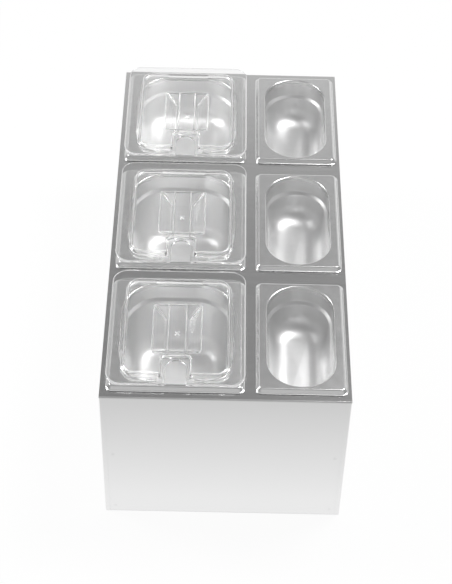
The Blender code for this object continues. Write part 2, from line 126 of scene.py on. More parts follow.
def mesh_object(name, corners, faces):
    """An object with its place in its mesh and its faces turned out."""
    mesh = bpy.data.meshes.new(name)
    mesh.from_pydata(corners, [], faces)
    shape = bmesh.new()
    shape.from_mesh(mesh)
    bmesh.ops.remove_doubles(shape, verts=shape.verts, dist=MERGE_REACH)
    bmesh.ops.recalc_face_normals(shape, faces=shape.faces)
    shape.to_mesh(mesh)
    shape.free()
    thing = bpy.data.objects.new(name, mesh)
    bpy.context.scene.collection.objects.link(thing)
    return thing


def settle(thing):
    """Turns an object's modifiers into its plain mesh."""
    bpy.context.view_layer.update()
    evaluated = thing.evaluated_get(bpy.context.evaluated_depsgraph_get())
    mesh = bpy.data.meshes.new_from_object(evaluated)
    thing.modifiers.clear()
    thing.data = mesh
    mesh.name = thing.name


def give_wall(sheet, thickness):
    """Grows a wall inwards from an outer skin."""
    wall = sheet.modifiers.new("wall", "SOLIDIFY")
    wall.thickness = thickness
    wall.offset = -1
    wall.use_even_offset = True
    settle(sheet)


def folded_sheet(name, section, start, end, place):
    """A bent sheet: its outer skin swept along one direction, with its wall inside."""
    count = len(section)
    corners = [place(u, v, start) for u, v in section] + [place(u, v, end) for u, v in section]
    faces = [[i, i + 1, i + 1 + count, i + count] for i in range(count - 1)]
    sheet = mesh_object(name, corners, faces)
    middle = sum((Vector(corner) for corner in corners), Vector()) / len(corners)
    largest = max(sheet.data.polygons, key=lambda face: face.area)
    if largest.normal.dot(largest.center - middle) < 0:
        sheet.data.flip_normals()
    give_wall(sheet, SHEET)
    return sheet


def combine(target, other, operation):
    """Joins other to target, cuts it away or keeps what both hold, and removes other."""
    change = target.modifiers.new("combine", "BOOLEAN")
    change.operation = operation
    change.solver = "MANIFOLD"
    change.object = other
    settle(target)
    bpy.data.objects.remove(other, do_unlink=True)


def block(low, high):
    """A box between two corners, used as a cutter or a plain flange."""
    xs, ys, zs = zip(low, high)
    corners = [(x, y, z) for x in xs for y in ys for z in zs]
    faces = [[0, 1, 3, 2], [4, 6, 7, 5], [0, 4, 5, 1], [2, 3, 7, 6], [0, 2, 6, 4], [1, 5, 7, 3]]
    return mesh_object("block", corners, faces)


def rounded_ring(width, length, radius, x, y, z, steps=10):
    """Points round a rectangle with rounded corners, the same number for any size."""
    points = []
    for quarter, (side_x, side_y) in enumerate(((1, 1), (-1, 1), (-1, -1), (1, -1))):
        for step in range(steps + 1):
            angle = math.pi / 2 * (quarter + step / steps)
            across = side_x * (width / 2 - radius) + radius * math.cos(angle)
            along = side_y * (length / 2 - radius) + radius * math.sin(angle)
            points.append((x + across, y + along, z))
    return points


def weld_ring(x, y, z, radius, steps=16):
    """Points round a spot weld's dent, in a plane that faces the front or the rear."""
    turns = [2 * math.pi * step / steps for step in range(steps)]
    return [(x + radius * math.cos(turn), y, z + radius * math.sin(turn)) for turn in turns]


def stacked(name, rings):
    """A closed shape through rings that have as many points each."""
    count = len(rings[0])
    corners = [point for ring in rings for point in ring]
    faces = [list(range(count)), list(range(len(corners) - count, len(corners)))]
    for start in range(0, len(corners) - count, count):
        for i in range(count):
            after = (i + 1) % count
            faces.append([start + i, start + after, start + count + after, start + count + i])
    return mesh_object(name, corners, faces)


def smooth(thing, angle=35):
    """Smooth shading that leaves the flats flat: each corner leans to the largest face that meets there."""
    thing.data.shade_smooth()
    thing.data.set_sharp_from_angle(angle=math.radians(angle))
    lean = thing.modifiers.new("lean", "WEIGHTED_NORMAL")
    lean.keep_sharp = True
    lean.weight = 100
    settle(thing)


def give_finish(thing, material):
    """Gives a piece its one material."""
    thing.data.materials.clear()
    thing.data.materials.append(material)


# Real grinding lines are 0.1 mm apart. They are drawn coarser, so that they show. CLOUD_SIZE is the size of
# the faint patches that rolling and handling leave.
GRAIN_PITCH = 1.515 * MM
GRAIN_LENGTH = 125 * MM
GRAIN_RELIEF = 0.1 * MM
CLOUD_SIZE = 111 * MM


def brushed_steel(name, along):
    """Brushed 304 stainless steel: belt-ground lines along one axis draw each highlight out across them.
    Where the weld attribute is 1, the heat of a spot weld has dulled the steel."""
    tree, material = new_material(name)
    place = add(tree, "ShaderNodeTexCoord").outputs["Object"]
    per_metre = [1 / (GRAIN_LENGTH if axis == along else GRAIN_PITCH) for axis in "XYZ"]
    lines = add(tree, "ShaderNodeMapping", {"Vector": place, "Scale": per_metre})
    fine = add(
        tree, "ShaderNodeTexNoise",
        {"Vector": lines.outputs[0], "Scale": 1.0, "Detail": 3.0, "Roughness": 0.6},
    ).outputs["Fac"]
    cloud = add(tree, "ShaderNodeTexNoise", {"Vector": place, "Scale": 1 / CLOUD_SIZE, "Detail": 2.0})
    rough = add(
        tree, "ShaderNodeMapRange",
        {"Value": fine, "From Min": 0.3, "From Max": 0.7, "To Min": 0.17, "To Max": 0.22},
    )
    tint = add(
        tree, "ShaderNodeMix",
        {"Factor": fine, "A": linear("#E8E8E8"), "B": linear("#F0F0F0")}, data_type="RGBA",
    )
    patch = add(
        tree, "ShaderNodeMix",
        {"Factor": cloud.outputs["Fac"], "A": tint.outputs["Result"], "B": linear("#ECECEC")},
        data_type="RGBA",
    )
    weld = add(tree, "ShaderNodeAttribute", attribute_name="weld").outputs["Fac"]
    dulled = add(
        tree, "ShaderNodeMix",
        {"Factor": weld, "A": patch.outputs["Result"], "B": linear("#E6E6E6")}, data_type="RGBA",
    )
    ridge = add(tree, "ShaderNodeBump", {"Height": fine, "Strength": 0.05, "Distance": GRAIN_RELIEF})
    steel = add(
        tree, "ShaderNodeBsdfPrincipled",
        {
            "Base Color": dulled.outputs["Result"], "Metallic": 1.0, "Roughness": rough.outputs["Result"],
            "Normal": ridge.outputs["Normal"],
        },
    )
    add(tree, "ShaderNodeOutputMaterial", {"Surface": steel.outputs["BSDF"]})
    return material


crosswise_steel = brushed_steel("brushed stainless steel, grain across", "X")

half_depth = HOUSING_DEPTH / 2
half_width = HOUSING_WIDTH / 2
deck_section = bent_line([
    (half_depth - BASE_RETURN, 0, 0),
    (half_depth, 0, EDGE_BEND),
    (half_depth, HOUSING_HEIGHT, EDGE_BEND),
    (-half_depth, HOUSING_HEIGHT, EDGE_BEND),
    (-half_depth, 0, EDGE_BEND),
    (-half_depth + BASE_RETURN, 0, 0),
])
deck = folded_sheet("deck_sheet", deck_section, -half_width, half_width, lambda y, z, x: (x, y, z))
for side in (-1, 1):
    for end in (-1, 1):
        across = sorted((side * (half_width - CORNER_STRIP - FACE_SEAM), side * (half_width + OVERRUN)))
        along = sorted((end * (half_depth - BASE_RETURN - OVERRUN), end * (half_depth + OVERRUN)))
        strip = block((across[0], along[0], -OVERRUN), (across[1], along[1], HOUSING_HEIGHT - EDGE_BEND))
        combine(deck, strip, "DIFFERENCE")
for size in (SIXTH, NINTH):
    for middle in ROW_MIDDLES.values():
        opening = [
            rounded_ring(
                size["width"] - 2 * CUTOUT_INSET_SIDE, PAN_LENGTH - 2 * CUTOUT_INSET_END,
                size["corner"] + CUTOUT_MARGIN, size["x"], middle, HOUSING_HEIGHT + height,
            )
            for height in (-OVERRUN, OVERRUN)
        ]
        combine(deck, stacked("opening", opening), "DIFFERENCE")
dent_steps = ((WELD_FLOOR_RADIUS, -WELD_DENT), (WELD_RADIUS, 0), (WELD_RADIUS, OVERRUN))
for side in (-1, 1):
    for end in (-1, 1):
        for height in WELD_HEIGHTS:
            dent = [
                weld_ring(side * WELD_X, end * (half_depth + out), height, radius)
                for radius, out in dent_steps
            ]
            combine(deck, stacked("weld_dent", dent), "DIFFERENCE")
smooth(deck)


def in_weld(point):
    """Whether a point of the deck's sheet lies on a spot weld."""
    off_x = abs(point.x) - WELD_X
    return any(math.hypot(off_x, point.z - height) < WELD_RADIUS + SEAM for height in WELD_HEIGHTS)


marks = [
    float(all(in_weld(deck.data.vertices[i].co) for i in face.vertices)) for face in deck.data.polygons
]
deck.data.attributes.new("weld", "FLOAT", "FACE").data.foreach_set("value", marks)
give_finish(deck, crosswise_steel)
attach(deck, "housing")
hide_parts("deck_shell")

# Side panels
# Each is one folded sheet of the same steel. It turns round the corner onto the front and rear face in a
# narrow strip and steps in behind the apron as a lap that is spot-welded there. One flange lies under the
# deck and one along the bottom.
CORNER_LAP = 14 * MM
JOGGLE_RUN = 1.2 * MM
TOP_FLANGE = {"left": 17.2 * MM, "right": 14.2 * MM}

lengthwise_steel = brushed_steel("brushed stainless steel, grain lengthwise", "Y")

for name, side in (("left", -1), ("right", 1)):
    lap_y = half_depth - SHEET - SEAM
    strip_x = half_width - CORNER_STRIP
    side_section = bent_line([
        (strip_x - CORNER_LAP, -lap_y, 0),
        (strip_x - JOGGLE_RUN, -lap_y, 0),
        (strip_x + 2 * SEAM, -half_depth, 0),
        (half_width, -half_depth, EDGE_BEND),
        (half_width, half_depth, EDGE_BEND),
        (strip_x + 2 * SEAM, half_depth, 0),
        (strip_x - JOGGLE_RUN, lap_y, 0),
        (strip_x - CORNER_LAP, lap_y, 0),
    ])
    strip_top = HOUSING_HEIGHT - EDGE_BEND - SEAM
    panel = folded_sheet("side_sheet_" + name, side_section, 0, strip_top, lambda x, y, z: (x, y, z))
    for end in (-1, 1):
        along = sorted((end * (half_depth - BASE_RETURN), end * (half_depth + OVERRUN)))
        foot_low = (strip_x - CORNER_LAP - OVERRUN, along[0], -OVERRUN)
        combine(panel, block(foot_low, (strip_x, along[1], EDGE_BEND + SEAM)), "DIFFERENCE")
    wall_end = half_depth - EDGE_BEND - SEAM
    wall_top = HOUSING_HEIGHT - SHEET - SEAM
    edge_low = (half_width - SHEET, -wall_end, strip_top - OVERRUN)
    combine(panel, block(edge_low, (half_width, wall_end, wall_top)), "UNION")
    flange_low = (half_width - TOP_FLANGE[name], -wall_end, wall_top - SHEET)
    combine(panel, block(flange_low, (half_width, wall_end, wall_top)), "UNION")
    base_end = half_depth - BASE_RETURN - SEAM
    base_low = (half_width - BASE_RETURN, -base_end, 0)
    combine(panel, block(base_low, (half_width, base_end, SHEET)), "UNION")
    if side < 0:
        panel.data.transform(Matrix.Diagonal((-1, 1, 1, 1)))
        panel.data.flip_normals()
    smooth(panel)
    give_finish(panel, lengthwise_steel)
    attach(panel, "housing")
    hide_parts("side_panel_" + name)

# Cross rails
# Two hat-section rails of the same sheet, spot-welded under the lands between the rows. They stay as the
# CAD made them, in mill-finish steel that was never brushed: greyer and softer than the outside. Its rolled
# grain is really under 0.1 mm, and drawn coarser, so that it shows.
MILL_GRAIN = 16.7 * MM

tree, mill_steel = new_material("mill-finish stainless steel")
place = add(tree, "ShaderNodeTexCoord").outputs["Object"]
roll = add(
    tree, "ShaderNodeTexNoise", {"Vector": place, "Scale": 1 / MILL_GRAIN, "Detail": 4.0}
).outputs["Fac"]
rough = add(tree, "ShaderNodeMapRange", {"Value": roll, "To Min": 0.38, "To Max": 0.55})
tint = add(
    tree, "ShaderNodeMix",
    {"Factor": roll, "A": linear("#B9B9B7"), "B": linear("#C6C6C3")}, data_type="RGBA",
)
steel = add(
    tree, "ShaderNodeBsdfPrincipled",
    {"Base Color": tint.outputs["Result"], "Metallic": 1.0, "Roughness": rough.outputs["Result"]},
)
add(tree, "ShaderNodeOutputMaterial", {"Surface": steel.outputs["BSDF"]})
for node_name in ("cross_rail_front", "cross_rail_rear"):
    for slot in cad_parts[node_name].material_slots:
        slot.material = mill_steel

# Pans
# Six gastronorm pans, deep-drawn from 0.8 mm stainless steel. The rim is bent down all round and stands on
# the deck. Below it come a straight band, a stacking shoulder, a leaning wall and a wide floor bend.
PAN_SHEET = 0.8 * MM
RIM_TOP = 231.3 * MM
RIM_CORNER = 8 * MM
SIDE_FLANGE = 13.5 * MM
END_FLANGE = 9 * MM
ROUND_STEPS = 14
SHALLOW = 65 * MM
DEEP = 100 * MM
DEEP_PANS = ("sixth_pan_front", "sixth_pan_middle")
# The rim falls in a slope to a narrow flared lip.
LIP_DROP = 6 * MM
LIP_EDGE = 0.9 * MM
LIP_FLARE = 1.1 * MM
LIP_RISE = 0.4 * MM
LIP_BEND = 0.9 * MM
RIM_SLOPE = 4.2 * MM
RIM_BEND = 1.8 * MM
RIM_HOLD = 0.05 * MM
# The well, from the rim's inner edge down.
WELL_EDGE_BEND = 1.5 * MM
BAND_HEIGHT = 25 * MM
BAND_BEND = 2 * MM
SHOULDER_STEP = 3.5 * MM
SHOULDER_DROP = 4 * MM
SHOULDER_BEND = 3 * MM
WALL_LEAN_SHARE = 0.1
FLOOR_BEND = 22 * MM
FLOOR_FALL = 0.3 * MM
FLOOR_CROWN = 0.5 * MM
# A point that only gives a line's direction past its end bend lies LEAD away.
LEAD = 6 * MM
SKIN_MERGE = 0.01 * MM


def pan_profile(depth):
    """Points of a pan's skin from the lip to the middle of the floor: inset, height, whether it is in the
    well, and how far its ring is shrunk."""
    lip_top = LIP_EDGE - LIP_DROP
    rim_line = bent_line([
        (0, -LIP_DROP, 0),
        (0, lip_top, 0),
        (LIP_FLARE, lip_top + LIP_RISE, LIP_BEND),
        (RIM_SLOPE, 0, RIM_BEND),
        (RIM_SLOPE + LEAD, 0, 0),
    ], steps=6, hold=RIM_HOLD)
    wall_top = BAND_HEIGHT + SHOULDER_DROP
    foot = SHOULDER_STEP + WALL_LEAN_SHARE * (depth - wall_top)
    well_line = bent_line([
        (-LEAD, 0, 0),
        (0, 0, WELL_EDGE_BEND),
        (0, -BAND_HEIGHT, BAND_BEND),
        (SHOULDER_STEP, -wall_top, SHOULDER_BEND),
        (foot, -depth, FLOOR_BEND),
        (foot + FLOOR_BEND, -depth - FLOOR_FALL, 0),
    ], steps=12)
    points = [(u, v, 0, 1) for u, v in rim_line[:-1]] + [(u, v, 1, 1) for u, v in well_line[1:]]
    edge, low = well_line[-1]
    floor_shares = (0.8, 0.6, 0.4, 0.2, 0)
    return points + [(edge, low + FLOOR_CROWN * (1 - share), 1, share) for share in floor_shares]


def drawn_pan_tree(material):
    """Geometry Nodes tree that lays a rounded ring at each point of a pan's profile and skins them. Each
    row of the grid is one ring, whose last point falls on its first. A whole number gets a little added
    before it is divided, so that it can't round down to the one below."""
    tree = bpy.data.node_groups.new("drawn pan", "GeometryNodeTree")
    tree.interface.new_socket("Profile", in_out="INPUT", socket_type="NodeSocketGeometry")
    for size_name in ("Width", "Length", "Side flange", "End flange", "Rim corner", "Well corner"):
        tree.interface.new_socket(size_name, in_out="INPUT", socket_type="NodeSocketFloat")
    tree.interface.new_socket("Corner steps", in_out="INPUT", socket_type="NodeSocketInt")
    tree.interface.new_socket("Geometry", in_out="OUTPUT", socket_type="NodeSocketGeometry")
    sizes = add(tree, "NodeGroupInput").outputs

    def maths(operation, *values):
        return add(tree, "ShaderNodeMath", dict(enumerate(values)), operation=operation).outputs[0]

    corner_points = maths("ADD", sizes["Corner steps"], 1)
    round_points = maths("MULTIPLY", corner_points, 4)
    row_points = maths("ADD", round_points, 1)
    count = add(
        tree, "GeometryNodeAttributeDomainSize", {"Geometry": sizes["Profile"]}, component="MESH"
    )
    grid = add(
        tree, "GeometryNodeMeshGrid",
        {"Vertices X": count.outputs["Point Count"], "Vertices Y": row_points},
    )
    index = add(tree, "GeometryNodeInputIndex").outputs[0]
    ring = maths("FLOOR", maths("DIVIDE", maths("ADD", index, 0.5), row_points))
    spot = maths("SUBTRACT", index, maths("MULTIPLY", ring, row_points))
    spot = maths("MODULO", maths("ADD", spot, 0.01), round_points)
    quarter = maths("FLOOR", maths("DIVIDE", spot, corner_points))
    step = maths("FLOOR", maths("SUBTRACT", spot, maths("MULTIPLY", quarter, corner_points)))
    part_turn = maths("DIVIDE", step, sizes["Corner steps"])
    angle = maths("MULTIPLY", maths("ADD", quarter, part_turn), math.pi / 2)
    diagonal = maths("MULTIPLY", maths("ADD", quarter, 0.5), math.pi / 2)

    def sampled(kind, value):
        node = add(
            tree, "GeometryNodeSampleIndex", {"Geometry": sizes["Profile"], "Index": ring}, data_type=kind
        )
        tree.links.new(value, node.inputs["Value"])
        return node.outputs["Value"]

    def stored(name):
        attribute = add(tree, "GeometryNodeInputNamedAttribute", {"Name": name})
        return sampled("FLOAT", attribute.outputs["Attribute"])

    at = sampled("FLOAT_VECTOR", add(tree, "GeometryNodeInputPosition").outputs[0])
    at = add(tree, "ShaderNodeSeparateXYZ", {"Vector": at}).outputs
    in_well = stored("in_well")
    shrink = stored("shrink")
    corner = add(
        tree, "ShaderNodeMix", {"Factor": in_well, "A": sizes["Rim corner"], "B": sizes["Well corner"]}
    )
    radius = maths("SUBTRACT", corner.outputs["Result"], at["X"])
    reach = {}
    for axis, size_name, flange, turn in (
        ("X", "Width", "Side flange", "COSINE"), ("Y", "Length", "End flange", "SINE")
    ):
        inset = maths("MULTIPLY_ADD", in_well, sizes[flange], at["X"])
        half_size = maths("MULTIPLY", sizes[size_name], 0.5)
        straight = maths("SUBTRACT", maths("SUBTRACT", half_size, inset), radius)
        sign = maths("SIGN", maths(turn, diagonal))
        arm = maths("MULTIPLY_ADD", sign, straight, maths("MULTIPLY", radius, maths(turn, angle)))
        reach[axis] = maths("MULTIPLY", arm, shrink)
    point = add(tree, "ShaderNodeCombineXYZ", {"X": reach["X"], "Y": reach["Y"], "Z": at["Z"]})
    skin = add(
        tree, "GeometryNodeSetPosition", {"Geometry": grid.outputs["Mesh"], "Position": point.outputs[0]}
    )
    closed = add(tree, "GeometryNodeMergeByDistance", {"Geometry": skin.outputs[0], "Distance": SKIN_MERGE})
    plain = add(tree, "GeometryNodeRealizeInstances", {"Geometry": closed.outputs[0]})
    steel = add(tree, "GeometryNodeSetMaterial", {"Geometry": plain.outputs[0], "Material": material})
    add(tree, "NodeGroupOutput", {"Geometry": steel.outputs[0]})
    return tree


# Deep-drawn 304 steel. The rim is polished and mirrors its surroundings, and the well below it is satin,
# with faint draw lines down the walls and a slow wave. Real draw lines are finer: these are 8 mm apart, so
# that they show.
DRAW_PITCH = 8.33 * MM
DRAW_LENGTH = 100 * MM
WAVE_SIZE = 45.5 * MM
WAVE_RELIEF = 0.6 * MM
POLISH_END = 4 * MM
SATIN_START = 20 * MM
DRAW_ROUGHNESS = 0.06

tree, pan_steel = new_material("satin-polished drawn stainless steel")
place = add(tree, "ShaderNodeTexCoord").outputs["Object"]
draw = add(
    tree, "ShaderNodeMapping",
    {"Vector": place, "Scale": (1 / DRAW_PITCH, 1 / DRAW_PITCH, 1 / DRAW_LENGTH)},
)
lines = add(
    tree, "ShaderNodeTexNoise", {"Vector": draw.outputs[0], "Scale": 1.0, "Detail": 3.0}
).outputs["Fac"]
wave = add(tree, "ShaderNodeTexNoise", {"Vector": place, "Scale": 1 / WAVE_SIZE, "Detail": 1.0})
height = add(tree, "ShaderNodeSeparateXYZ", {"Vector": place}).outputs["Z"]
satin = add(
    tree, "ShaderNodeMapRange",
    {
        "Value": height, "From Min": RIM_TOP - POLISH_END, "From Max": RIM_TOP - SATIN_START,
        "To Min": 0.22, "To Max": 0.43,
    },
)
rough = add(
    tree, "ShaderNodeMath", {0: lines, 1: DRAW_ROUGHNESS, 2: satin.outputs["Result"]},
    operation="MULTIPLY_ADD",
)
uneven = add(
    tree, "ShaderNodeBump", {"Height": wave.outputs["Fac"], "Strength": 0.1, "Distance": WAVE_RELIEF}
)
tint = add(
    tree, "ShaderNodeMix",
    {"Factor": lines, "A": linear("#EAEAEA"), "B": linear("#F1F1F1")}, data_type="RGBA",
)
steel = add(
    tree, "ShaderNodeBsdfPrincipled",
    {
        "Base Color": tint.outputs["Result"], "Metallic": 1.0, "Roughness": rough.outputs[0],
        "Normal": uneven.outputs["Normal"],
    },
)
add(tree, "ShaderNodeOutputMaterial", {"Surface": steel.outputs["BSDF"]})

pan_tree = drawn_pan_tree(pan_steel)
for size_name, size in (("sixth", SIXTH), ("ninth", NINTH)):
    for row_name, middle in ROW_MIDDLES.items():
        profile = pan_profile(DEEP if size_name + "_pan_" + row_name in DEEP_PANS else SHALLOW)
        edges = [(i, i + 1) for i in range(len(profile) - 1)]
        mesh = bpy.data.meshes.new("profile")
        mesh.from_pydata([(u, 0, v) for u, v, well, share in profile], edges, [])
        for attribute_name, column in (("in_well", 2), ("shrink", 3)):
            values = mesh.attributes.new(attribute_name, "FLOAT", "POINT")
            values.data.foreach_set("value", [float(point[column]) for point in profile])
        pan = bpy.data.objects.new(size_name + "_drawn_pan_" + row_name, mesh)
        bpy.context.scene.collection.objects.link(pan)
        skin = pan.modifiers.new("skin", "NODES")
        skin.node_group = pan_tree
        values = {
            "Width": size["width"], "Length": PAN_LENGTH,
            "Side flange": SIDE_FLANGE, "End flange": END_FLANGE,
            "Rim corner": RIM_CORNER, "Well corner": size["corner"], "Corner steps": ROUND_STEPS,
        }
        for socket in pan_tree.interface.items_tree:
            if socket.name in values:
                skin[socket.identifier] = values[socket.name]
        settle(pan)
        if max(pan.data.polygons, key=lambda face: face.center.z).normal.z < 0:
            pan.data.flip_normals()
        give_wall(pan, PAN_SHEET)
        pan.data.transform(Matrix.Translation((size["x"], middle, RIM_TOP)))
        smooth(pan)
        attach(pan, row_name + "_" + size_name)
        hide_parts(size_name + "_pan_" + row_name)

# Lids
# Three alike, injection-moulded in clear polycarbonate. A flat flange lies on the pan's rim. The raised
# middle carries a sunk handle with two webs to pinch and, in front, a notch for the handle of a spoon.
# Heights are above the pan's rim and lengths from the middle of the pan.
LID_WALL = 2.5 * MM
UNDERSIDE = 0.3 * MM
FLANGE_TOP = UNDERSIDE + LID_WALL
PLATEAU_TOP = FLANGE_TOP + 6.5 * MM
PLATEAU_UNDER = PLATEAU_TOP - LID_WALL
HANDLE_DEPTH = 12 * MM
HOPPER_FLOOR = PLATEAU_TOP - HANDLE_DEPTH
LID_FRONT = -83 * MM
LID_REAR = 99 * MM
OUTLINE = {"width": 164 * MM, "front": LID_FRONT, "rear": LID_REAR, "corner": 18 * MM}
PLATEAU = {"width": 126 * MM, "front": -72 * MM, "rear": 80 * MM, "corner": 16 * MM}
MOUTH = {"width": 58 * MM, "front": -39.5 * MM, "rear": 36.5 * MM, "corner": 4 * MM}
# The pocket and the notch run out past the lid's front edge.
PAST_EDGE = LID_FRONT - 6 * MM
POCKET = {"width": 34.5 * MM, "front": PAST_EDGE, "rear": -43 * MM, "corner": 5 * MM}
NOTCH = {"width": 25 * MM, "rear": -45.5 * MM}
# The sunk handle is a hopper. Its walls lean in by HOPPER_RUN in the profile, which is scaled to the other
# three runs at its sides, ends and corners.
HOPPER_RUN = 14.5 * MM
HOPPER_SIDE_RUN = 15 * MM
HOPPER_END_RUN = 14 * MM
HOPPER_CORNER_RUN = 2 * MM
# The step from the flange up to the raised middle, on top and underneath, and how round each edge is.
STEP_RUN = 1.5 * MM
STEP_UNDER_FOOT = 1 * MM
STEP_UNDER_HEAD = 2.08 * MM
FLANGE_EDGE_BEND = 1 * MM
UNDER_EDGE_BEND = 0.6 * MM
STEP_FOOT_BEND = 1.5 * MM
STEP_HEAD_BEND = 2 * MM
STEP_UNDER_BEND = 0.8 * MM
INNER_BEND = 1.5 * MM
MOUTH_BEND = 2 * MM
HOPPER_BEND = 1.5 * MM
BOWL_BEND = 2.5 * MM
POCKET_BEND = 1.2 * MM
POCKET_FLARE = 1.7 * MM
POCKET_CLEAR = 4 * MM
CUT_SLACK = 0.01 * MM


def lid_ring(plan, inset, z, side_share=1, end_share=1, corner_share=1):
    """A ring of the lid: the outline of one of its parts, drawn in by inset."""
    width = plan["width"] - 2 * inset * side_share
    length = plan["rear"] - plan["front"] - 2 * inset * end_share
    radius = plan["corner"] - inset * corner_share
    return rounded_ring(width, length, radius, 0, (plan["front"] + plan["rear"]) / 2, z)


def shrunk(ring, share):
    """The same ring drawn in towards its middle."""
    middle = sum((Vector(point) for point in ring), Vector()) / len(ring)
    return [tuple(middle.lerp(Vector(point), share)) for point in ring]


hopper_shares = [run / HOPPER_RUN for run in (HOPPER_SIDE_RUN, HOPPER_END_RUN, HOPPER_CORNER_RUN)]
mid_wall = UNDERSIDE + LID_WALL / 2
upper = bent_line([(0, mid_wall, 0), (0, FLANGE_TOP, FLANGE_EDGE_BEND), (LEAD, FLANGE_TOP, 0)], 4)[:-1]
step_up = bent_line([
    (-LEAD, FLANGE_TOP, 0), (-STEP_RUN, FLANGE_TOP, STEP_FOOT_BEND),
    (0, PLATEAU_TOP, STEP_HEAD_BEND), (LEAD, PLATEAU_TOP, 0),
], 5)[1:-1]
hopper = bent_line([
    (-LEAD, PLATEAU_TOP, 0), (0, PLATEAU_TOP, MOUTH_BEND),
    (HOPPER_RUN, HOPPER_FLOOR, HOPPER_BEND), (HOPPER_RUN + LEAD, HOPPER_FLOOR, 0),
], 5)[1:-1]
rings = [lid_ring(OUTLINE, inset, z) for inset, z in upper]
rings += [lid_ring(PLATEAU, inset, z) for inset, z in step_up]
rings += [lid_ring(MOUTH, inset, z, *hopper_shares) for inset, z in hopper]
rings += [shrunk(rings[-1], share) for share in (0.5, 0)]

lower = bent_line([(0, mid_wall, 0), (0, UNDERSIDE, UNDER_EDGE_BEND), (LEAD, UNDERSIDE, 0)], 4)[1:-1]
step_under = bent_line([
    (-LEAD, UNDERSIDE, 0), (STEP_UNDER_FOOT, UNDERSIDE, STEP_UNDER_BEND),
    (STEP_UNDER_HEAD, PLATEAU_UNDER, INNER_BEND), (STEP_UNDER_HEAD + LEAD, PLATEAU_UNDER, 0),
], 5)[1:-1]
bowl_floor = HOPPER_FLOOR - LID_WALL
bowl = bent_line([
    (-LEAD, PLATEAU_UNDER, 0), (0, PLATEAU_UNDER, INNER_BEND),
    (HOPPER_RUN - LID_WALL, bowl_floor, BOWL_BEND), (HOPPER_RUN + LEAD, bowl_floor, 0),
], 5)[1:-1]
under = [lid_ring(OUTLINE, inset, z) for inset, z in lower]
under += [lid_ring(PLATEAU, inset, z) for inset, z in step_under]
under += [lid_ring(MOUTH, inset, z, *hopper_shares) for inset, z in bowl]
under += [shrunk(under[-1], share) for share in (0.5, 0)]
lid = stacked("lid", under[::-1] + rings)

# The pocket round the notch is cut down to the flange. A block that is joined on first leaves it its wall.
pocket_wall = dict(POCKET)
for key, grow in (("width", 2 * LID_WALL), ("rear", LID_WALL / 2), ("corner", LID_WALL)):
    pocket_wall[key] += grow
filler = stacked("filler", [lid_ring(pocket_wall, 0, z) for z in (UNDERSIDE, PLATEAU_TOP - CUT_SLACK)])
hump = [lid_ring(PLATEAU, step_up[0][0], UNDERSIDE / 2)]
hump += [lid_ring(PLATEAU, inset, z - CUT_SLACK) for inset, z in step_up]
combine(filler, stacked("hump", hump), "INTERSECT")
combine(lid, filler, "UNION")
pocket_line = bent_line([
    (LEAD, FLANGE_TOP, 0), (0, FLANGE_TOP, POCKET_BEND),
    (0, PLATEAU_TOP, POCKET_BEND), (-LEAD, PLATEAU_TOP, 0),
], 4)[1:-1]
pocket_rings = [lid_ring(POCKET, inset, z, corner_share=0.9) for inset, z in pocket_line]
pocket_rings.append(lid_ring(POCKET, -POCKET_FLARE, PLATEAU_TOP + POCKET_CLEAR))
combine(lid, stacked("pocket", pocket_rings), "DIFFERENCE")

# The notch's cut in mm: how much wider at which height. Both edges of the flange are rounded.
NOTCH_CUT = [(1.2, -3), (0.7, 0.3), (0.25, 0.55), (0, 1), (0, 2.1), (0.25, 2.55), (0.7, 2.8), (1.2, 4)]


def notch_ring(grow, z, steps=16):
    """The notch's plan: straight sides out past the lid's edge and a round end, widened by grow."""
    half = NOTCH["width"] / 2 + grow
    centre = NOTCH["rear"] - NOTCH["width"] / 2
    points = [(-half, PAST_EDGE, z), (half, PAST_EDGE, z)]
    for step in range(steps + 1):
        angle = math.pi * step / steps
        points.append((half * math.cos(angle), centre + half * math.sin(angle), z))
    return points


notch_cut = [notch_ring(grow * MM, z * MM) for grow, z in NOTCH_CUT]
combine(lid, stacked("notch", notch_cut), "DIFFERENCE")


def moulded_bar(low, high, radius, steps=3):
    """A bar with its four long edges rounded."""
    bar = block(low, high)
    shape = bmesh.new()
    shape.from_mesh(bar.data)
    axis = max(range(3), key=lambda i: high[i] - low[i])
    edges = [edge for edge in shape.edges if abs((edge.verts[0].co - edge.verts[1].co)[axis]) > radius]
    bmesh.ops.bevel(shape, geom=edges, offset=radius, segments=steps, affect="EDGES", profile=0.5)
    shape.to_mesh(bar.data)
    shape.free()
    return bar


# The handle's webs follow its leaning end walls. The ribs under the lid keep it in place on the pan.
WEB_INNER = 9.5 * MM
WEB_OUTER = 11.5 * MM
WEB_ROOT = 1.2 * MM
WEB_ROUND = 0.7 * MM
RIB_LOW = -2.7 * MM
RIB_ROOT = 1.5 * MM
RIB_ROUND = 0.5 * MM
RIB_HALF_LENGTH = 28 * MM
SIDE_RIB = (64 * MM, 66 * MM)
FRONT_RIB = (22 * MM, 34 * MM)
FRONT_RIB_Y = (-76 * MM, -74 * MM)
REAR_RIB_Y = (75.5 * MM, 77.5 * MM)
GATE_HALF_LENGTH = 4 * MM
GATE_HALF_WIDTH = 0.9 * MM
GATE_ROOT = 0.5 * MM
GATE_HEIGHT = 0.9 * MM

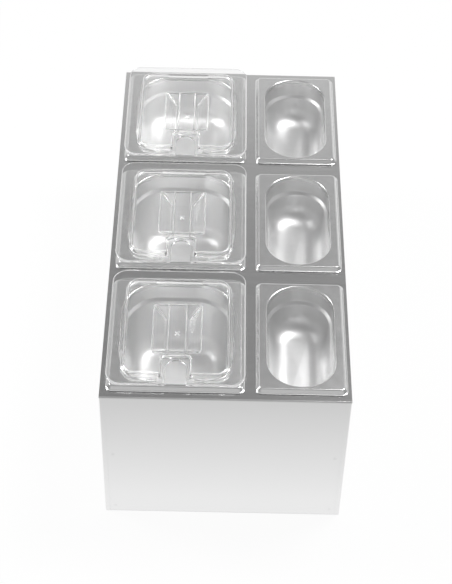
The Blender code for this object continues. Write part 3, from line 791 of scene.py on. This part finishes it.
for side in (-1, 1):
    across = sorted((side * WEB_INNER, side * WEB_OUTER))
    web_low = (across[0], MOUTH["front"] - WEB_ROOT, HOPPER_FLOOR - WEB_ROOT)
    web_high = (across[1], MOUTH["rear"] + WEB_ROOT, PLATEAU_TOP)
    web = moulded_bar(web_low, web_high, WEB_ROUND)
    shape = bmesh.new()
    shape.from_mesh(web.data)
    for corner in shape.verts:
        lean = (PLATEAU_TOP - corner.co.z) * HOPPER_END_RUN / HANDLE_DEPTH
        corner.co.y -= math.copysign(lean, corner.co.y)
    shape.to_mesh(web.data)
    shape.free()
    combine(lid, web, "UNION")
    across = sorted(side * x for x in SIDE_RIB)
    rib = moulded_bar(
        (across[0], -RIB_HALF_LENGTH, RIB_LOW), (across[1], RIB_HALF_LENGTH, RIB_ROOT), RIB_ROUND
    )
    combine(lid, rib, "UNION")
    across = sorted(side * x for x in FRONT_RIB)
    rib = moulded_bar(
        (across[0], FRONT_RIB_Y[0], RIB_LOW), (across[1], FRONT_RIB_Y[1], RIB_ROOT), RIB_ROUND
    )
    combine(lid, rib, "UNION")
rear_rib_root = PLATEAU_TOP - LID_WALL / 2
rib = moulded_bar(
    (-RIB_HALF_LENGTH, REAR_RIB_Y[0], RIB_LOW), (RIB_HALF_LENGTH, REAR_RIB_Y[1], rear_rib_root), RIB_ROUND
)
combine(lid, rib, "UNION")
for turn in (45, 135):
    gate = block(
        (-GATE_HALF_LENGTH, -GATE_HALF_WIDTH, HOPPER_FLOOR - GATE_ROOT),
        (GATE_HALF_LENGTH, GATE_HALF_WIDTH, HOPPER_FLOOR + GATE_HEIGHT),
    )
    gate.data.transform(Matrix.Rotation(math.radians(turn), 4, "Z"))
    combine(lid, gate, "UNION")
smooth(lid, angle=21)

# A painted highlight: this attribute marks the faces where a clear moulding catches the light, its narrow
# rounded edges, less by the pocket, where two meet, and most of all the gate mark. There the plastic is
# painted partly matt white.
BEND_FACE_WIDTH = 1.6 * MM
BEND_TURN = math.radians(5)
BEND_UP_SHARE = 0.25
EDGE_SHARE = 0.8
POCKET_EDGE_SHARE = 0.3
GATE_SHARE = 1.0
GATE_REACH = 4.2 * MM
GATE_SHOWN = (0.1 * MM, 1.1 * MM)
HANDLE_WALL_SHOWN = (1 * MM, HANDLE_DEPTH - 1 * MM)
HANDLE_SHOWN_Y = (-15 * MM, 37 * MM)
POCKET_EDGE_Y = -42 * MM
POCKET_EDGE_X = 25 * MM


def painted_glint_share(face):
    """How much painted highlight one face of the lid gets."""
    x, y, z = face.calc_center_median()
    above_floor = z - HOPPER_FLOOR
    if math.hypot(x, y) < GATE_REACH and GATE_SHOWN[0] < above_floor < GATE_SHOWN[1]:
        return GATE_SHARE
    narrow = face.calc_area() / max(edge.calc_length() for edge in face.edges) < BEND_FACE_WIDTH
    turned = [edge for edge in face.edges if edge.calc_face_angle(0) > BEND_TURN]
    if not (narrow and turned and face.normal.z > BEND_UP_SHARE):
        return 0.0
    in_handle = (
        HANDLE_WALL_SHOWN[0] < above_floor < HANDLE_WALL_SHOWN[1]
        and abs(x) < MOUTH["width"] / 2 and HANDLE_SHOWN_Y[0] < y < HANDLE_SHOWN_Y[1]
    )
    if not (in_handle or any(edge.is_convex for edge in turned)):
        return 0.0
    return POCKET_EDGE_SHARE if y < POCKET_EDGE_Y and abs(x) < POCKET_EDGE_X else EDGE_SHARE


shape = bmesh.new()
shape.from_mesh(lid.data)
painted_edge_glints = [painted_glint_share(face) for face in shape.faces]
shape.free()
lid.data.attributes.new("painted_edge_glint", "FLOAT", "FACE").data.foreach_set("value", painted_edge_glints)

# Clear polycarbonate, moulded in a polished tool: IOR 1.585 and almost no tint, so only its edges show.
# On the faces that the attribute marks it is painted partly matt white and made rougher: a painted
# highlight.
# Most light passes on to the pan, since a clear lid casts a faint shadow, and a ray that is still caught in
# a wall after five turns is let out. FLOW_SIZE is the slow ripple that the flow of the plastic leaves.
FLOW_SIZE = 33.3 * MM
FLOW_RELIEF = 0.1 * MM
BEND_ROUGHNESS = 0.12
PAINTED_GLINT_WHITENESS = 0.4
LIGHT_PASSED_SHARE = 0.8
CAUGHT_TURNS = 5.0

tree, polycarbonate = new_material("clear moulded polycarbonate")
place = add(tree, "ShaderNodeTexCoord").outputs["Object"]
flow = add(
    tree, "ShaderNodeTexNoise", {"Vector": place, "Scale": 1 / FLOW_SIZE, "Detail": 2.0}
).outputs["Fac"]
painted_edge_glint = add(tree, "ShaderNodeAttribute", attribute_name="painted_edge_glint").outputs["Fac"]
rough = add(tree, "ShaderNodeMapRange", {"Value": flow, "To Min": 0.01, "To Max": 0.05})
rough = add(
    tree, "ShaderNodeMath", {0: painted_edge_glint, 1: BEND_ROUGHNESS, 2: rough.outputs["Result"]},
    operation="MULTIPLY_ADD",
)
# Painted highlight: on the marked faces some of the clear plastic turns matt white.
clear = add(tree, "ShaderNodeMath", {0: painted_edge_glint, 1: -PAINTED_GLINT_WHITENESS, 2: 1.0}, operation="MULTIPLY_ADD")
path = add(tree, "ShaderNodeLightPath").outputs
through = add(
    tree, "ShaderNodeMath", {0: path["Is Shadow Ray"], 1: LIGHT_PASSED_SHARE}, operation="MULTIPLY"
)
caught = add(tree, "ShaderNodeMath", {0: path["Ray Depth"], 1: CAUGHT_TURNS}, operation="GREATER_THAN")
through = add(tree, "ShaderNodeMath", {0: through.outputs[0], 1: caught.outputs[0]}, operation="MAXIMUM")
body = add(tree, "ShaderNodeMath", {0: 1.0, 1: through.outputs[0]}, operation="SUBTRACT")
ripple = add(tree, "ShaderNodeBump", {"Height": flow, "Strength": 0.02, "Distance": FLOW_RELIEF})
plastic = add(
    tree, "ShaderNodeBsdfPrincipled",
    {
        "Base Color": linear("#FEFEFE"), "Roughness": rough.outputs[0], "IOR": 1.585,
        "Transmission Weight": clear.outputs[0], "Alpha": body.outputs[0],
        "Normal": ripple.outputs["Normal"],
    },
)
add(tree, "ShaderNodeOutputMaterial", {"Surface": plastic.outputs["BSDF"]})

for row_name, middle in ROW_MIDDLES.items():
    moulded = bpy.data.objects.new("moulded_lid_" + row_name, lid.data.copy())
    bpy.context.scene.collection.objects.link(moulded)
    moulded.data.transform(Matrix.Translation((SIXTH["x"], middle, RIM_TOP)))
    give_finish(moulded, polycarbonate)
    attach(moulded, row_name + "_lid")
    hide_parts("lid_" + row_name)
bpy.data.objects.remove(lid, do_unlink=True)

# Studio floor
# White paper, whose fibre is drawn coarser than it is. It shows white to the camera and through the lids.
# In the steel it shows a painted fall-off of light, darker to the front and to the sides, as a lit table
# is.
# Inside the housing it is in deep shade, which shows where a pan is lifted.
SHADE_SHARE = 0.12
# To the camera SHOWN_SHARE of the paper is plain white, and the rest takes the holder's shadow.
SHOWN_SHARE = 0.95
FLOOR_REACH = 6.0
PAPER_FIBRE = 25 * MM
# How far from the middle the two painted fades of light start and end, in metres.
FRONT_FADE = (0.32, 0.68)
SIDE_FADE = (0.6, 1.2)

tree, paper = new_material("white studio paper")
place = add(tree, "ShaderNodeTexCoord").outputs["Object"]
fibre = add(tree, "ShaderNodeTexNoise", {"Vector": place, "Scale": 1 / PAPER_FIBRE, "Detail": 3.0})
tint = add(
    tree, "ShaderNodeMix",
    {"Factor": fibre.outputs["Fac"], "A": linear("#FAFAFA"), "B": linear("#FFFFFF")}, data_type="RGBA",
)
rays = add(tree, "ShaderNodeLightPath").outputs
seen = add(
    tree, "ShaderNodeMath", {0: rays["Is Camera Ray"], 1: rays["Is Transmission Ray"]},
    operation="MAXIMUM",
)
seen = add(tree, "ShaderNodeMath", {0: seen.outputs[0], 1: SHOWN_SHARE}, operation="MULTIPLY")
share = add(tree, "ShaderNodeMath", {0: seen.outputs[0], 1: rays["Is Glossy Ray"]}, operation="MAXIMUM")
spot = add(tree, "ShaderNodeSeparateXYZ", {"Vector": place}).outputs
beside = {}
for axis, half_size in (("X", half_width), ("Y", half_depth)):
    off_axis = add(tree, "ShaderNodeMath", {0: spot[axis]}, operation="ABSOLUTE")
    beside[axis] = add(
        tree, "ShaderNodeMath", {0: off_axis.outputs[0], 1: half_size - SHEET / 2},
        operation="GREATER_THAN",
    ).outputs[0]
outside = add(tree, "ShaderNodeMath", {0: beside["X"], 1: beside["Y"]}, operation="MAXIMUM")
lit = add(tree, "ShaderNodeMath", {0: outside.outputs[0], 1: SHADE_SHARE}, operation="MAXIMUM")
share = add(tree, "ShaderNodeMath", {0: share.outputs[0], 1: lit.outputs[0]}, operation="MULTIPLY")
# Painted fall-off of light, seen only in the steel: the paper's glow is darker to the front and to the
# sides.
to_front = add(
    tree, "ShaderNodeMapRange",
    {
        "Value": spot["Y"], "From Min": -FRONT_FADE[1], "From Max": -FRONT_FADE[0],
        "To Min": 0.4, "To Max": 1.0,
    },
)
off_axis = add(tree, "ShaderNodeMath", {0: spot["X"]}, operation="ABSOLUTE")
to_side = add(
    tree, "ShaderNodeMapRange",
    {
        "Value": off_axis.outputs[0], "From Min": SIDE_FADE[0], "From Max": SIDE_FADE[1],
        "To Min": 1.0, "To Max": 0.35,
    },
)
fade = add(
    tree, "ShaderNodeMath", {0: to_front.outputs["Result"], 1: to_side.outputs["Result"]},
    operation="MULTIPLY",
)
strength = add(tree, "ShaderNodeMix", {"Factor": rays["Is Glossy Ray"], "A": 1.0, "B": fade.outputs[0]})
glow = add(tree, "ShaderNodeEmission", {"Strength": strength.outputs["Result"]})
matt = add(tree, "ShaderNodeBsdfDiffuse", {"Color": tint.outputs["Result"]})
both = add(tree, "ShaderNodeMixShader", {0: share.outputs[0], 1: matt.outputs[0], 2: glow.outputs[0]})
add(tree, "ShaderNodeOutputMaterial", {"Surface": both.outputs[0]})
floor_corners = [(x * FLOOR_REACH, y * FLOOR_REACH, 0) for x, y in ((-1, -1), (1, -1), (1, 1), (-1, 1))]
floor = mesh_object("floor", floor_corners, [[0, 1, 2, 3]])
if floor.data.polygons[0].normal.z < 0:
    floor.data.flip_normals()
give_finish(floor, paper)

# Studio dome and lamps
# A soft dome and two softboxes. To the camera the dome is plain white. The steel and the lids mirror an
# arch on it from the rear over the top to the front, bright behind and with a paler band overhead, which
# fades to an even grey at the sides. ARCH gives degrees up from the rear, and how bright it is there.
ARCH = (
    (0, 1.0), (32, 1.0), (38, 0.62), (42, 0.3), (46, 0.22), (70, 0.2), (80, 0.6), (100, 0.6),
    (112, 0.25), (150, 0.25), (162, 0.6), (180, 0.7),
)
SIDE_GREY = (0.35, 0.35, 0.35, 1)
WHITE = (1.0, 1.0, 1.0, 1)

world = bpy.data.worlds.new("studio")
bpy.context.scene.world = world
world.use_nodes = True
tree = world.node_tree
tree.nodes.clear()
towards = add(tree, "ShaderNodeTexCoord").outputs["Generated"]
side, rear, height = add(tree, "ShaderNodeSeparateXYZ", {"Vector": towards}).outputs
over = add(tree, "ShaderNodeMath", {0: height, 1: rear}, operation="ARCTAN2")
over = add(tree, "ShaderNodeMath", {0: over.outputs[0], 1: math.pi}, operation="DIVIDE")
arch = add(tree, "ShaderNodeValToRGB", {"Fac": over.outputs[0]})
stops = arch.color_ramp.elements
stops.remove(stops[1])
for degrees, grey in ARCH:
    stop = stops.new(degrees / 180) if degrees else stops[0]
    stop.color = (grey, grey, grey, 1)
off_axis = add(tree, "ShaderNodeMath", {0: side}, operation="ABSOLUTE")
off_axis = add(
    tree, "ShaderNodeMapRange", {"Value": off_axis.outputs[0], "From Min": 0.45, "From Max": 0.85},
    interpolation_type="SMOOTHSTEP",
)
dome = add(
    tree, "ShaderNodeMix",
    {"Factor": off_axis.outputs["Result"], "A": arch.outputs["Color"], "B": SIDE_GREY}, data_type="RGBA",
)
straight = add(tree, "ShaderNodeLightPath").outputs["Is Camera Ray"]
shown = add(
    tree, "ShaderNodeMix", {"Factor": straight, "A": dome.outputs["Result"], "B": WHITE}, data_type="RGBA"
)
sky = add(tree, "ShaderNodeBackground", {"Color": shown.outputs["Result"], "Strength": 1.0})
add(tree, "ShaderNodeOutputWorld", {"Surface": sky.outputs[0]})


def softbox(name, place, target, width, height, power):
    """A rectangular lamp at place, turned to target."""
    lamp = bpy.data.lights.new(name, "AREA")
    lamp.shape = "RECTANGLE"
    lamp.size = width
    lamp.size_y = height
    lamp.energy = power
    box = bpy.data.objects.new(name, lamp)
    bpy.context.scene.collection.objects.link(box)
    box.location = place
    box.rotation_euler = (Vector(target) - Vector(place)).to_track_quat("-Z", "Y").to_euler()


DECK_MIDDLE = (0, 0, 0.2)
softbox("left softbox", (-1.5, 0.3, 1.5), DECK_MIDDLE, width=0.5, height=1.2, power=16)
softbox("key softbox", (0.8, 0.3, 1.95), DECK_MIDDLE, width=0.6, height=0.6, power=22)

# Camera
# It stands where the photograph was taken from, in front of the holder and 47 degrees up. It was fitted to
# the housing's edges and the pans' rims.
AZIMUTH = math.radians(0.446)
ELEVATION = math.radians(47.034)
ROLL = math.radians(1.542)

camera_data = bpy.data.cameras.new("camera")
camera_data.lens = 97.25
camera_data.sensor_width = 36
camera = bpy.data.objects.new("camera", camera_data)
bpy.context.scene.collection.objects.link(camera)
forward = Vector((
    math.sin(AZIMUTH) * math.cos(ELEVATION), math.cos(AZIMUTH) * math.cos(ELEVATION), -math.sin(ELEVATION)
))
right = Vector((math.cos(AZIMUTH), -math.sin(AZIMUTH), 0))
up = right.cross(forward)
turned_right = right * math.cos(ROLL) + up * math.sin(ROLL)
turned_up = up * math.cos(ROLL) - right * math.sin(ROLL)
camera.matrix_world = Matrix((
    (*turned_right, 0), (*turned_up, 0), (*-forward, 0), (0, 0, 0, 1)
)).transposed()
camera.location = (-11.785 * MM, -1448.736 * MM, 1645.950 * MM)
bpy.context.scene.camera = camera
bpy.context.scene.view_settings.view_transform = "Standard"
